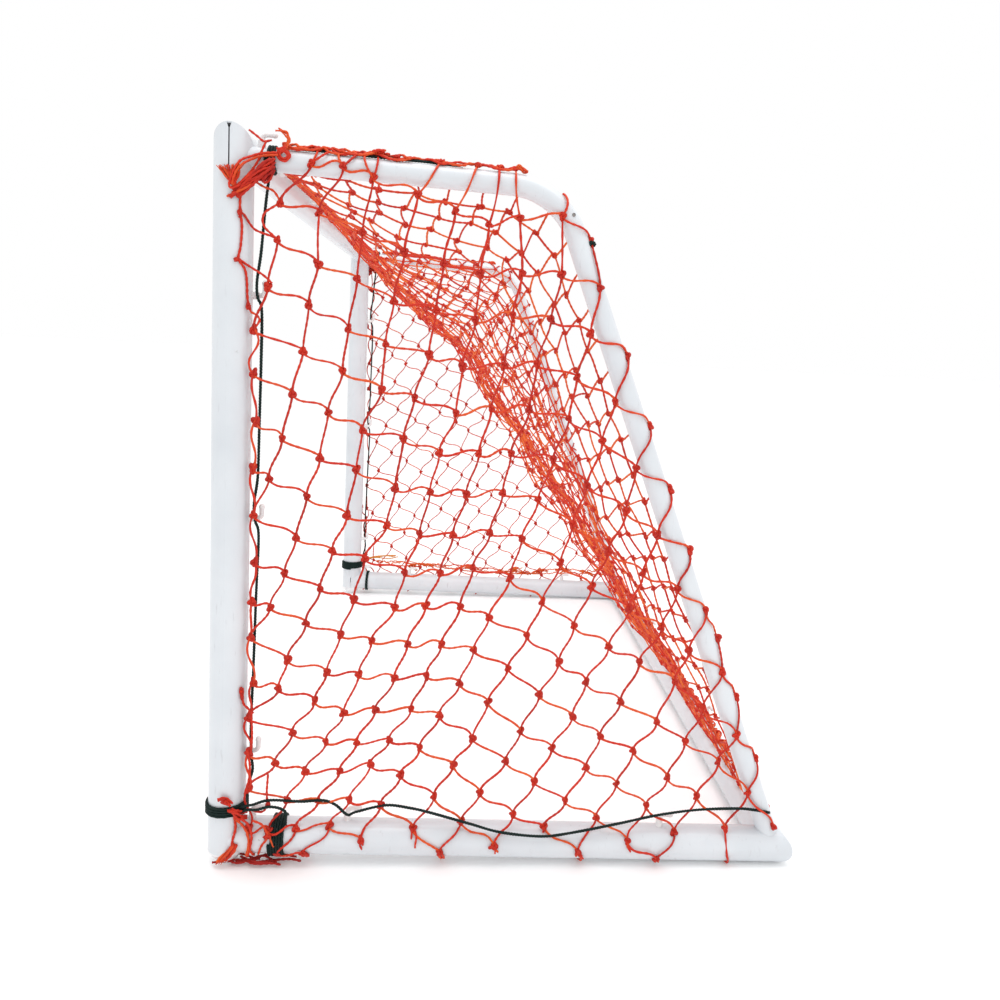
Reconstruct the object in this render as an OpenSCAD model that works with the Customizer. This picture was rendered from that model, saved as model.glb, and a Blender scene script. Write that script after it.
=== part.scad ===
// Small steel goal frame with a knotted twine net laced on to it.
// Millimetres. The ground is z = 0, the mouth faces -Y, and the right side is +X.
// The origin is on the ground, at the middle of the width and of the depth.

/* [Frame] */
// Overall width, outside the posts
goal_w = 1219; // [1000:1:1500]
// Overall height, ground to the top of the crossbar
goal_h = 914; // [880:1:950]
// Overall depth, front of the posts to the back of the rear bar
goal_d = 762; // [740:1:800]
// Outside diameter of the posts and the crossbar
post_od = 46; // [42:0.5:50]
// Outside diameter of the base tubes and the rear bar
base_od = 44.5; // [40:0.5:45]
// Outside diameter of the side hoop tubes
hoop_od = 27; // [22:0.5:30]
// Wall of the posts, the crossbar, the base tubes and the rear bar
main_wall = 1.6; // [1.2:0.1:2.5]
// Wall of the side hoop tubes
hoop_wall = 1.5; // [1.2:0.1:2]
// Height of the base tube axis above the ground at the post
base_front_z = 34.25; // [30:0.25:40]

/* [Side hoop] */
// Height of the hoop axis where it meets the post
hoop_front_z = 879; // [860:1:882]
// Where the top run and the back stay would cross, along Y
knee_y = 31; // [0:1:60]
// Where the top run and the back stay would cross, above the ground
knee_z = 865; // [840:1:875]
// Centre-line radius of the bend
bend_r = 92; // [80:1:110]

/* [Net and lacing] */
// Twine width in the modelled nets
twine_w = 3; // [2:0.5:5]
// Distance between the lines of a side net
mesh_pitch = 46; // [35:1:80]
// Rows and columns of meshes in the back net
back_cells = 12; // [6:1:14]
// How sharply the back net falls away from the hoops
back_sag = 2.5; // [1.5:0.1:3.5]
// Diameter of the lacing cord
cord_od = 3.5; // [2.5:0.5:4]

/* [Hidden] */

$fn = 48;
big = 3000;
paint = [0.88, 0.89, 0.92];
hook_white = [0.94, 0.94, 0.95];
twine_red = [0.87, 0.22, 0.12];
cord_green = [0.07, 0.16, 0.15];
steel_grey = [0.30, 0.30, 0.32];

post_x = goal_w / 2 - post_od / 2;
post_y = -goal_d / 2 + post_od / 2;
bar_z = goal_h - post_od / 2;
rear_y = goal_d / 2 - base_od / 2;
rear_z = base_od / 2;
base_rear_z = rear_z + 0.05;
base_pitch = atan2(base_rear_z - base_front_z, rear_y - post_y);

// The foot cap under each post
cap_h = 18;
cap_rim_h = 2;
cap_tip_d = 22;
cap_plug_h = 14;

// Slits left at the ends of the post walls
slit_w = 1.6;
slit_top_h = 50;
slit_top_notch = 7;
slit_foot_h = 46;

// Side hoop, as [y, z] points in the plane of the side frame
hoop_start = [post_y, hoop_front_z];
hoop_knee = [knee_y, knee_z];
hoop_foot = [rear_y, rear_z];
top_pitch = atan2(knee_z - hoop_front_z, knee_y - post_y);
stay_pitch = atan2(rear_z - knee_z, rear_y - knee_y);
bend_turn = top_pitch - stay_pitch;
bend_cut = bend_r * tan(bend_turn / 2);
bend_start = hoop_knee - bend_cut * [cos(top_pitch), sin(top_pitch)];
bend_end = hoop_knee + bend_cut * [cos(stay_pitch), sin(stay_pitch)];
bend_centre = bend_start + bend_r * [sin(top_pitch), -cos(top_pitch)];
top_run = norm(bend_start - hoop_start);
bend_run = bend_r * bend_turn * PI / 180;
stay_run = norm(hoop_foot - bend_end);
// Straight runs lap a little way into a bend, a hair larger, so that both are one solid
run_lap = 1;
run_step = 0.04;

// The sleeve inside the joint between the bend and the back stay
sleeve_gap = 0.2;
sleeve_wall = 2;
sleeve_turn = 22;
sleeve_straight = 45;
rivet_d = 3.2;
rivet_head_d = 4.4;
rivet_turn = 15;
rivet_tilt = 28;

// A net hook: a boss on the tube and a round arm with a ball end
hook_boss_d = 9;
hook_boss_h = 8;
hook_root = 6;
hook_arm_d = 6;
hook_elbow_r = 6;
hook_arm_h = 9;
hook_ball_d = 7.2;
hook_collar_h = 1.6;
post_hook_z = [718, 446, 146];
base_hook_y = [-326, -206, 204];
top_hook_y = -326;
bar_hook_x = [-460, -230, 0, 230, 460];
crossbar_hook_lean = 95;
rear_hook_lean = 35;

// Nets
net_x = 597.5 - 609.5 + goal_w / 2;
net_front_gap = 5;
net_hoop_gap = 2.5;
net_base_gap = 4.5;
net_border = 4;
net_lean = 20;
back_x = post_x - hoop_od / 2 - 6;
back_top = [post_y + post_od / 2 + 22, bar_z - 12];
back_foot = [rear_y - 11, rear_z + 26];
back_t = 3;
back_hole = 0.9;

// Lacing cord
cord_sides = 8;
cord_gap = 0.1;
wrap_pitch = 3.4;
post_wrap_z = 71;
right_post_wrap_turns = 4;
left_post_wrap_turns = 5;
right_base_wrap_y = -299;
right_base_wrap_turns = 5;
left_base_wrap_y = -318;
left_base_wrap_turns = 2;
top_wrap_y = -317;
top_wrap_turns = 3;
// Down the back of the right post, past its three hooks
post_cord_route = [
    [592, -316, 858], [592, -320, 820], [592, -324, 770], [593.5, -328, 735],
    [593.5, -327, 716], [593.5, -322, 700], [593, -322, 640], [593, -323, 560],
    [593, -324, 500], [593.5, -328, 465], [593.5, -326, 444], [593, -322, 425],
    [593, -324, 350], [593, -326, 260], [593.5, -328, 180], [593.5, -327, 144],
    [594, -325, 125], [597, -329, 108], [598, -333, 92]
];
// Loosely along the outside of the right base tube, woven through the net
base_cord_route = [
    [606, -336, 81], [606, -322, 84], [604, -301, 89], [603, -262, 87],
    [602, -235, 88], [602, -219, 82], [602, -204, 69], [602, -193, 73],
    [602, -156, 82], [603, -125, 79], [605, -99, 74], [608, -48, 61],
    [610, -9, 51], [611, 43, 46], [610, 82, 50], [606, 146, 61],
    [603, 198, 71], [602, 251, 78], [602, 304, 80], [602, 328, 78],
    [602, 348, 74.5]
];
// From the winding on the right post to the winding on the right base tube
tie_cord_route = [
    [606.5, -335.5, 75], [607.5, -327, 78], [608, -316, 78.5], [607.5, -302, 82],
    [606, -290, 80], [604.5, -281.5, 74], [602.5, -281, 64], [600.8, -281.5, 54.5]
];
// Turn of the top cord round the hoop, outwards positive, at its route points
top_cord_roll = [[0, 11], [7, 11], [9, -35], [15, -35], [16, 20]];
// Behind the crossbar, for x >= 0; the other half is mirrored
crossbar_cord_route = [
    [0, -327, 895.5], [115, -328, 893], [230, -327, 895.5], [345, -328, 893],
    [460, -327, 895.5], [555, -328, 894]
];

// ---- helpers ----

function cosh(x) = (exp(x) + exp(-x)) / 2;
function mix(a, b, t) = a + (b - a) * t;
function unit(v) = v / norm(v);

// A point on the hoop axis, offset outwards by away, at a distance along it
function hoop_at(run, away = 0) =
    run < top_run
        ? hoop_start + run * [cos(top_pitch), sin(top_pitch)] + away * [-sin(top_pitch), cos(top_pitch)]
    : run < top_run + bend_run
        ? bend_at(top_pitch - (run - top_run) / bend_r * 180 / PI, away)
    : bend_end + (run - top_run - bend_run) * [cos(stay_pitch), sin(stay_pitch)]
        + away * [-sin(stay_pitch), cos(stay_pitch)];
function bend_at(pitch, away = 0) = bend_centre + (bend_r + away) * [-sin(pitch), cos(pitch)];

// A closed tube swept along a route, with ref never along the route
module sweep(route, od, ref) {
    last = len(route) - 1;
    heading = [for (i = [0:last]) unit(route[min(i + 1, last)] - route[max(i - 1, 0)])];
    points = [
        for (i = [0:last])
            let (across = unit(cross(heading[i], ref)), up = cross(across, heading[i]))
            for (k = [0:cord_sides - 1])
                route[i] + od / 2 * (cos(360 * k / cord_sides) * across + sin(360 * k / cord_sides) * up)
    ];
    skin = [
        for (i = [0:last - 1])
            for (k = [0:cord_sides - 1])
                let (next = (k + 1) % cord_sides, row = i * cord_sides)
                [row + k, row + next, row + cord_sides + next, row + cord_sides + k]
    ];
    start = [for (k = [cord_sides - 1:-1:0]) k];
    end = [for (k = [0:cord_sides - 1]) last * cord_sides + k];
    polyhedron(points, concat([start], skin, [end]));
}

// Draws its children in the plane of a side frame: local x is Y, local y is Z, local z is X
module side_plane() {
    translate([post_x, 0, 0])
        rotate([90, 0, 90])
            children();
}

module mirrored() {
    mirror([1, 0, 0])
        children();
}

// A round rod from a [y, z] point along a pitch, in the plane of a side frame
module side_rod(from, pitch, length, od) {
    translate(from)
        rotate([0, 90, pitch])
            cylinder(h = length, d = od);
}

// Cord wound closely round a core on the local z axis, as one ribbed ring
module turns(count, core_od) {
    rotate_extrude() {
        for (i = [0:count - 1])
            translate([core_od / 2 + cord_gap + cord_od / 2, i * wrap_pitch])
                circle(d = cord_od, $fn = 24);
        translate([core_od / 2 + cord_gap + 0.4, 0])
            square([cord_od - 1, (count - 1) * wrap_pitch]);
    }
}

// Everything above the 45 degree mitre at the top of the right post, or below it
module above_mitre(below = false) {
    translate([post_x, 0, bar_z])
        rotate([0, -45, 0])
            translate([-big / 2, -big / 2, below ? -big : 0])
                cube(big);
}

// Everything behind the 45 degree mitre at the right rear corner, or in front of it
module behind_mitre(front = false) {
    translate([post_x, rear_y, -big / 2])
        rotate([0, 0, 45])
            translate([-big / 2, front ? -big : 0, 0])
                cube(big);
}

// ---- solid cores, used for the tubes and for the saddle cuts ----

module post_core() {
    difference() {
        translate([post_x, post_y, cap_h])
            cylinder(h = goal_h - cap_h, d = post_od);
        above_mitre();
    }
}

module crossbar_core(od = post_od) {
    difference() {
        translate([-goal_w / 2, post_y, bar_z])
            rotate([0, 90, 0])
                cylinder(h = goal_w, d = od);
        above_mitre(below = true);
        mirrored()
            above_mitre(below = true);
    }
}

module base_core() {
    difference() {
        base_rod(base_od);
        behind_mitre();
    }
}

// The corner of post and crossbar without its mitre, for the saddle cut on the top run
module top_corner() {
    translate([post_x, post_y, 0])
        cylinder(h = goal_h, d = post_od);
    translate([0, post_y, bar_z])
        rotate([0, 90, 0])
            cylinder(h = post_x, d = post_od);
}

// The corner of base tube and rear bar without its mitre, for the saddle cut on the back stay
module rear_corner() {
    base_rod(0);
    rear_rod(post_x);
    intersection() {
        base_rod(base_od);
        rear_rod(goal_w / 2);
    }
}

module base_rod(extra) {
    side_plane()
        side_rod([post_y, base_front_z], base_pitch, rear_y - post_y + extra, base_od);
}

module rear_rod(reach) {
    translate([-reach, rear_y, rear_z])
        rotate([0, 90, 0])
            cylinder(h = 2 * reach, d = base_od);
}

module rear_core() {
    difference() {
        rear_rod(goal_w / 2);
        behind_mitre(front = true);
        mirrored()
            behind_mitre(front = true);
    }
}

// ---- tubes ----

module post() {
    color(paint)
        difference() {
            post_core();
            translate([post_x, post_y, 0])
                cylinder(h = big, d = post_od - 2 * main_wall);
            post_slits();
        }
}

// A notched slit in the outer wall at the top, and a plain one in the inner wall at the foot
module post_slits() {
    translate([post_x, post_y, 0])
        rotate([90, 0, 90]) {
            linear_extrude(post_od)
                polygon([
                    [-slit_w / 2, goal_h - slit_top_h],
                    [slit_w / 2, goal_h - slit_top_h],
                    [slit_w / 2, goal_h - slit_top_notch],
                    [slit_top_notch / 2, goal_h + 1],
                    [-slit_top_notch / 2, goal_h + 1],
                    [-slit_w / 2, goal_h - slit_top_notch]
                ]);
            translate([0, 0, -post_od])
                linear_extrude(post_od)
                    polygon([
                        [-slit_w / 2, 0],
                        [slit_w / 2, 0],
                        [slit_w / 2, slit_foot_h],
                        [-slit_w / 2, slit_foot_h]
                    ]);
        }
}

module crossbar() {
    color(paint)
        difference() {
            crossbar_core();
            crossbar_core(post_od - 2 * main_wall);
        }
}

module base_tube() {
    color(paint)
        difference() {
            base_core();
            side_plane()
                side_rod([post_y, base_front_z], base_pitch, big, base_od - 2 * main_wall);
            post_core();
        }
}

module rear_base_bar() {
    color(paint)
        difference() {
            rear_core();
            translate([-big / 2, rear_y, rear_z])
                rotate([0, 90, 0])
                    cylinder(h = big, d = base_od - 2 * main_wall);
        }
}

// The top run and the bend, as one solid rod
module bend_rod(od) {
    side_plane() {
        side_rod(hoop_start, top_pitch, top_run + run_lap, od + run_step);
        bend_arc(bend_turn, od);
    }
}

// The last part of the bend, ending at the back stay
module bend_arc(turn, od) {
    translate(bend_centre)
        rotate([0, 0, 90 + stay_pitch])
            rotate_extrude(angle = turn)
                translate([bend_r, 0])
                    circle(d = od);
}

module top_bend() {
    color(paint)
        difference() {
            bend_rod(hoop_od);
            bend_rod(hoop_od - 2 * hoop_wall);
            top_corner();
            rivet_place()
                rivet_hole();
        }
}

module back_stay() {
    color(paint)
        difference() {
            side_plane()
                side_rod(bend_end, stay_pitch, stay_run, hoop_od);
            side_plane()
                side_rod(bend_end, stay_pitch, stay_run, hoop_od - 2 * hoop_wall);
            rear_corner();
        }
}

module stay_sleeve() {
    sleeve_od = hoop_od - 2 * hoop_wall - 2 * sleeve_gap;
    color(steel_grey)
        difference() {
            sleeve_rod(sleeve_od);
            sleeve_rod(sleeve_od - 2 * sleeve_wall);
            rivet_place()
                rivet_hole();
        }
}

module sleeve_rod(od) {
    lap_start = bend_end - run_lap * [cos(stay_pitch), sin(stay_pitch)];
    side_plane() {
        side_rod(lap_start, stay_pitch, sleeve_straight + run_lap, od + run_step);
        bend_arc(sleeve_turn, od);
    }
}

// Puts a part on the axis of the bend, with its local z leaning out of the side frame
module rivet_place() {
    at = bend_at(stay_pitch + rivet_turn);
    side_plane()
        translate([at[0], at[1], 0])
            rotate([0, 0, stay_pitch + rivet_turn])
                rotate([-rivet_tilt, 0, 0])
                    children();
}

module rivet_hole() {
    cylinder(h = hoop_od, d = rivet_d + 0.1);
}

module rivet() {
    shank_from = hoop_od / 2 - hoop_wall - sleeve_gap - sleeve_wall - 1;
    color(steel_grey)
        rivet_place() {
            translate([0, 0, shank_from])
                cylinder(h = hoop_od / 2 + 0.3 - shank_from, d = rivet_d);
            translate([0, 0, hoop_od / 2 + 0.2])
                cylinder(h = 1.1, d = rivet_head_d);
        }
}

module stay_rivets() {
    rivet();
    mirrored()
        rivet();
}

module foot_cap() {
    color(hook_white)
        translate([post_x, post_y, 0]) {
            cylinder(h = cap_h - cap_rim_h, d1 = cap_tip_d, d2 = post_od, $fn = 48);
            translate([0, 0, cap_h - cap_rim_h])
                cylinder(h = cap_rim_h, d = post_od);
            translate([0, 0, cap_h - 0.01])
                cylinder(h = cap_plug_h, d = post_od - 2 * main_wall - 0.2);
        }
}

// ---- hooks ----

// Boss along +Z from the tube wall, arm turned towards +X
module hook() {
    color(hook_white) {
        translate([0, 0, -hook_root])
            cylinder(h = hook_root + hook_boss_h, d = hook_boss_d);
        translate([0, 0, hook_boss_h])
            cylinder(h = 1, d = hook_arm_d);
        translate([hook_elbow_r, 0, hook_boss_h + 1])
            rotate([90, -90, 0])
                rotate_extrude(angle = 90)
                    translate([hook_elbow_r, 0])
                        circle(d = hook_arm_d);
        translate([hook_elbow_r, 0, hook_boss_h + 1 + hook_elbow_r])
            rotate([0, 90, 0]) {
                cylinder(h = hook_arm_h, d = hook_arm_d);
                translate([0, 0, hook_arm_h - hook_collar_h])
                    cylinder(h = hook_collar_h, d = hook_ball_d);
                translate([0, 0, hook_arm_h])
                    sphere(d = hook_ball_d);
            }
    }
}

module post_hooks() {
    difference() {
        for (z = post_hook_z)
            translate([post_x, post_y + post_od / 2, z])
                rotate([-90, -90, 0])
                    hook();
        post_core();
    }
}

module base_hooks() {
    difference() {
        for (y = base_hook_y)
            translate([post_x, y, base_front_z + (y - post_y) * tan(base_pitch) + base_od / 2])
                rotate([0, 0, 90])
                    hook();
        base_core();
    }
}

module top_hook() {
    difference() {
        translate([post_x, top_hook_y, hoop_front_z + (top_hook_y - post_y) * tan(top_pitch) + hoop_od / 2])
            rotate([0, 0, 90])
                hook();
        bend_rod(hoop_od);
    }
}

module top_hooks() {
    top_hook();
    mirrored()
        top_hook();
}

// A row of hooks along a cross tube; lean is the boss angle from straight up, towards +Y
module bar_hooks(y, z, od, lean) {
    difference() {
        for (x = bar_hook_x)
            translate([x - hook_elbow_r - hook_arm_h / 2, y, z])
                rotate([-lean, 0, 0])
                    translate([0, 0, od / 2])
                        hook();
        translate([-goal_w / 2, y, z])
            rotate([0, 90, 0])
                cylinder(h = goal_w, d = od);
    }
}

module crossbar_hooks() {
    bar_hooks(post_y, bar_z, post_od, crossbar_hook_lean);
}

module rear_bar_hooks() {
    bar_hooks(rear_y, rear_z, base_od, rear_hook_lean);
}

// ---- nets ----

// The side opening of the frame, drawn in from every tube by an extra inset
function side_outline(inset) =
    let (
        front = post_y + post_od / 2 + net_front_gap + inset,
        away = -(hoop_od / 2 + net_hoop_gap + inset),
        base_up = base_od / 2 + net_base_gap + inset,
        top_z = hoop_at(front - post_y, away)[1],
        arc = [for (i = [0:6]) bend_at(mix(top_pitch, stay_pitch, i / 6), away)],
        foot_run = stay_run - (base_up + 6) / sin(-stay_pitch),
        foot = hoop_at(top_run + bend_run + foot_run, away),
        front_z = base_front_z + (front - post_y) * tan(base_pitch) + base_up
    )
    concat([[front, front_z], [front, top_z]], arc, [foot], [[foot[0] - 4, rear_z + base_up + 2]]);

// Twine lines in both directions, over the whole side opening
module twine_lines() {
    reach = goal_h;
    for (turn = [-net_lean, 90 - net_lean])
        rotate(turn)
            for (i = [-ceil(reach / mesh_pitch):ceil(reach / mesh_pitch)])
                translate([-big / 2, i * mesh_pitch - twine_w / 2])
                    square([big, twine_w]);
}

module side_net() {
    color(twine_red)
        translate([net_x - post_x - twine_w / 2, 0, 0])
            side_plane()
                linear_extrude(twine_w)
                    union() {
                        intersection() {
                            polygon(side_outline(0));
                            twine_lines();
                        }
                        difference() {
                            polygon(side_outline(0));
                            polygon(side_outline(net_border));
                        }
                    }
}

// The back net hangs from the crossbar, the hoops and the rear bar like a soap film:
// along the hoops it follows them, and half way between it is nearly straight.
function back_hoop(v) =
    let (
        from = back_top[0] - post_y,
        to = top_run + bend_run + stay_run - (back_foot[1] - rear_z) / sin(-stay_pitch)
    )
    hoop_at(mix(from, to, v));
function back_mid(v) = mix(back_top, back_foot, v);
function back_at(u, v) =
    let (
        w = cosh(back_sag * u) / cosh(back_sag),
        p = mix(back_mid(v), back_hoop(v), w)
    )
    [u * back_x, p[0], p[1]];
function back_normal(u, v) =
    let (
        across = back_at(u + 0.02, v) - back_at(u - 0.02, v),
        along = back_at(u, min(v + 0.02, 1)) - back_at(u, max(v - 0.02, 0))
    )
    unit(cross(across, along));

module back_net() {
    n = back_cells;
    corner_uv = [for (j = [0:n]) for (i = [0:n]) [2 * i / n - 1, j / n]];
    hole_uv = [
        for (j = [0:n - 1])
            for (i = [0:n - 1])
                for (c = [[-1, -1], [1, -1], [1, 1], [-1, 1]])
                    [2 * (i + 0.5 + c[0] * back_hole / 2) / n - 1, (j + 0.5 + c[1] * back_hole / 2) / n]
    ];
    uv = concat(corner_uv, hole_uv);
    count = len(uv);
    points = concat(
        [for (p = uv) back_at(p[0], p[1]) + back_t / 2 * back_normal(p[0], p[1])],
        [for (p = uv) back_at(p[0], p[1]) - back_t / 2 * back_normal(p[0], p[1])]
    );
    cells = [
        for (j = [0:n - 1])
            for (i = [0:n - 1])
                let (
                    a = j * (n + 1) + i,
                    outer = [a, a + 1, a + n + 2, a + n + 1],
                    h = (n + 1) * (n + 1) + 4 * (j * n + i)
                )
                for (k = [0:3])
                    let (m = (k + 1) % 4)
                    each [
                        [outer[m], outer[k], h + k, h + m],
                        [outer[k] + count, outer[m] + count, h + m + count, h + k + count],
                        [h + m, h + k, h + k + count, h + m + count]
                    ]
    ];
    rim = concat(
        [for (i = [0:n]) i],
        [for (j = [1:n]) j * (n + 1) + n],
        [for (i = [n - 1:-1:0]) n * (n + 1) + i],
        [for (j = [n - 1:-1:1]) j * (n + 1)]
    );
    edge = [
        for (k = [0:len(rim) - 1])
            let (a = rim[k], b = rim[(k + 1) % len(rim)])
            [a, b, b + count, a + count]
    ];
    color(twine_red)
        polyhedron(points, concat(cells, edge));
}

// ---- lacing ----

module laced(route, ref) {
    color(cord_green)
        sweep(route, cord_od, ref);
}

function mirror_route(half) =
    concat([for (i = [len(half) - 1:-1:1]) [-half[i][0], half[i][1], half[i][2]]], half);

// On top of the hoop, from the first wrap to the outside of the stay below the bend;
// half way it rolls over to the inner side of the hoop and comes back at its end
function top_cord_route() =
    let (away = hoop_od / 2 + cord_od / 2 + 0.4)
    [
        for (i = [0:16])
            let (
                roll = lookup(i, top_cord_roll),
                p = hoop_at(mix(58, top_run + bend_run + 14, i / 16), away * cos(roll))
            )
            [post_x + away * sin(roll), p[0], p[1]]
    ];

module post_wrap(count) {
    color(cord_green)
        translate([post_x, post_y, post_wrap_z])
            turns(count, post_od);
}

module base_wrap(y, count) {
    color(cord_green)
        side_plane()
            translate([y, base_front_z + (y - post_y) * tan(base_pitch), 0])
                rotate([0, 90, base_pitch])
                    turns(count, base_od);
}

module top_wrap() {
    color(cord_green)
        side_plane()
            translate(hoop_at(top_wrap_y - post_y))
                rotate([0, 90, top_pitch])
                    turns(top_wrap_turns, hoop_od);
}

post();  // right_post
mirrored() post();  // left_post
crossbar();
base_tube();  // right_base_tube
mirrored() base_tube();  // left_base_tube
rear_base_bar();
top_bend();  // right_top_bend
mirrored() top_bend();  // left_top_bend
back_stay();  // right_back_stay
mirrored() back_stay();  // left_back_stay
stay_sleeve();  // right_stay_sleeve
mirrored() stay_sleeve();  // left_stay_sleeve
stay_rivets();
foot_cap();  // right_foot_cap
mirrored() foot_cap();  // left_foot_cap
post_hooks();  // right_post_hooks
mirrored() post_hooks();  // left_post_hooks
base_hooks();  // right_base_hooks
mirrored() base_hooks();  // left_base_hooks
top_hooks();
crossbar_hooks();
rear_bar_hooks();
side_net();  // right_side_net
mirrored() side_net();  // left_side_net
back_net();
laced(post_cord_route, [1, 0, 0]);  // right_post_cord
mirrored() laced(post_cord_route, [1, 0, 0]);  // left_post_cord
laced(base_cord_route, [1, 0, 0]);  // right_base_cord
laced(top_cord_route(), [1, 0, 0]);  // right_top_cord
laced(mirror_route(crossbar_cord_route), [0, 0, 1]);  // crossbar_cord
laced(tie_cord_route, [1, 0, 0]);  // right_tie_cord
post_wrap(right_post_wrap_turns);  // right_post_wrap
mirrored() post_wrap(left_post_wrap_turns);  // left_post_wrap
base_wrap(right_base_wrap_y, right_base_wrap_turns);  // right_base_wrap
mirrored() base_wrap(left_base_wrap_y, left_base_wrap_turns);  // left_base_wrap
top_wrap();  // right_top_wrap
mirrored() top_wrap();  // left_top_wrap
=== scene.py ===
"""Looks for the small steel goal: knotted twine nets, twisted lacing cord, painted tubes.

Metres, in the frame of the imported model: ground z = 0, mouth towards -Y, right side +X.
Pieces of the left side are built on the right and mirrored. Pairs (y, z) lie in a side plane.
"""

import math

import bpy
import numpy as np
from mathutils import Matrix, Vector


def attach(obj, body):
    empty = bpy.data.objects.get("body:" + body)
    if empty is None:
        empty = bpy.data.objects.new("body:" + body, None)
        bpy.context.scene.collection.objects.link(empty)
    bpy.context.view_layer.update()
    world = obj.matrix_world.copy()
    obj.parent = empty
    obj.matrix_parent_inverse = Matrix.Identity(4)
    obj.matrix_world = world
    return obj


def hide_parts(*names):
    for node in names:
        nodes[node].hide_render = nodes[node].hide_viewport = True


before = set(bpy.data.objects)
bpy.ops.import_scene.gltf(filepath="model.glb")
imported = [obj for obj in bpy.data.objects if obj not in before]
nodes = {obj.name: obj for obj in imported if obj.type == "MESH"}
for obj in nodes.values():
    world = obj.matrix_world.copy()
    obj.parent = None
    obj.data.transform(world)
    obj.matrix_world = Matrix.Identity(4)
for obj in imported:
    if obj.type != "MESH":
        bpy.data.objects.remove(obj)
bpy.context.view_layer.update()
rng = np.random.default_rng(20)

# ---- sizes that part.scad also holds, in metres ----

POST_X, POST_Y, POST_R = 0.5865, -0.358, 0.023
BASE_R = 0.02225
BASE_FRONT_Z, REAR_Y, REAR_Z = 0.03425, 0.35875, 0.02225
HOOP_R = 0.0135
HOOP_START = np.array([POST_Y, 0.879])
HOOP_KNEE = np.array([0.031, 0.865])
HOOP_FOOT = np.array([REAR_Y, REAR_Z])
BEND_R = 0.092
CORD_R = 0.00175
TWINE_R = 0.00172
BACK_X = 0.567
BACK_TOP = np.array([-0.313, 0.879])
BACK_FOOT = np.array([0.34775, 0.04825])
BACK_SAG = 2.5
NET_X = 0.5995

# ---- camera ----

CAMERA_AT = (1.6335, -0.0749, 0.6732)
CAMERA_TURN_DEGREES = (84.054, -2.718, 85.803)

camera_data = bpy.data.cameras.new("camera")
camera_data.lens = 30.37
camera_data.sensor_width = 36
camera_data.shift_x = -0.030
camera_data.shift_y = -0.0658
camera = bpy.data.objects.new("camera", camera_data)
camera.location = CAMERA_AT
camera.rotation_euler = [math.radians(a) for a in CAMERA_TURN_DEGREES]
bpy.context.scene.collection.objects.link(camera)
bpy.context.scene.camera = camera
bpy.context.scene.view_settings.view_transform = "Standard"

# ---- small vector helpers ----

CURVE_STEPS = 24  # samples between two given points of a curve


def metres(points):
    """Points given in millimetres."""
    return np.array(points, float) / 1000


def unit(v):
    return v / np.maximum(np.linalg.norm(v, axis=-1, keepdims=True), 1e-12)


def length_along(curve):
    """Distance from the start of a curve (n, 3) to each of its points."""
    steps = np.linalg.norm(np.diff(curve, axis=0), axis=1)
    return np.concatenate([[0], np.cumsum(steps)])


def smooth_path(points, spacing):
    """A Catmull-Rom curve through the points, resampled at an even spacing."""
    p = np.asarray(points, float)
    p = np.vstack([2 * p[0] - p[1], p, 2 * p[-1] - p[-2]])
    t = np.linspace(0, 1, CURVE_STEPS, endpoint=False)[:, None]
    runs = []
    for a, b, c, d in zip(p[:-3], p[1:-2], p[2:-1], p[3:]):
        square, cube = 2 * a - 5 * b + 4 * c - d, 3 * b - a - 3 * c + d
        runs.append(0.5 * (2 * b + (c - a) * t + square * t**2 + cube * t**3))
    curve = np.vstack([*runs, p[-2:-1]])
    along = length_along(curve)
    even = np.linspace(0, along[-1], max(int(round(along[-1] / spacing)), 4) + 1)
    return np.stack([np.interp(even, along, curve[:, k]) for k in range(3)], 1)


def hermite(p0, p1, t0, t1, count):
    """Cubic curves from p0 to p1 that leave along t0 and arrive along t1."""
    t = np.linspace(0, 1, count)[:, None]
    weights = (
        2 * t**3 - 3 * t**2 + 1,
        t**3 - 2 * t**2 + t,
        -2 * t**3 + 3 * t**2,
        t**3 - t**2,
    )
    return sum(w * np.asarray(q)[..., None, :] for w, q in zip(weights, (p0, t0, p1, t1)))


# ---- the side hoop and the base tube ----

TOP_DIR = unit(HOOP_KNEE - HOOP_START)
STAY_DIR = unit(HOOP_FOOT - HOOP_KNEE)
TOP_PITCH = math.atan2(TOP_DIR[1], TOP_DIR[0])
STAY_PITCH = math.atan2(STAY_DIR[1], STAY_DIR[0])
BEND_CUT = BEND_R * math.tan((TOP_PITCH - STAY_PITCH) / 2)
BEND_START = HOOP_KNEE - BEND_CUT * TOP_DIR
BEND_END = HOOP_KNEE + BEND_CUT * STAY_DIR
BEND_CENTRE = BEND_START + BEND_R * np.array([TOP_DIR[1], -TOP_DIR[0]])
TOP_RUN = np.linalg.norm(BEND_START - HOOP_START)
BEND_RUN = BEND_R * (TOP_PITCH - STAY_PITCH)
STAY_RUN = np.linalg.norm(HOOP_FOOT - BEND_END)
HOOP_RUN = TOP_RUN + BEND_RUN + STAY_RUN
HOOP_SAMPLES = 400
ROUND_TUBE = 2.6  # radians that a net edge goes round a tube, at the most


def hoop_at(run, away=0.0):
    """Points (y, z) on the hoop axis, offset outwards by away, at distances along it."""
    run, away = np.broadcast_arrays(np.asarray(run, float), np.asarray(away, float))
    turn = TOP_PITCH - np.clip(run - TOP_RUN, 0, BEND_RUN) / BEND_R
    way = np.stack([np.cos(turn), np.sin(turn)], -1)
    out = np.stack([-np.sin(turn), np.cos(turn)], -1)
    before = np.minimum(run, TOP_RUN)[..., None] - TOP_RUN
    after = np.maximum(run - TOP_RUN - BEND_RUN, 0)[..., None]
    return BEND_CENTRE + (BEND_R + away[..., None]) * out + before * way + after * way


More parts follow.
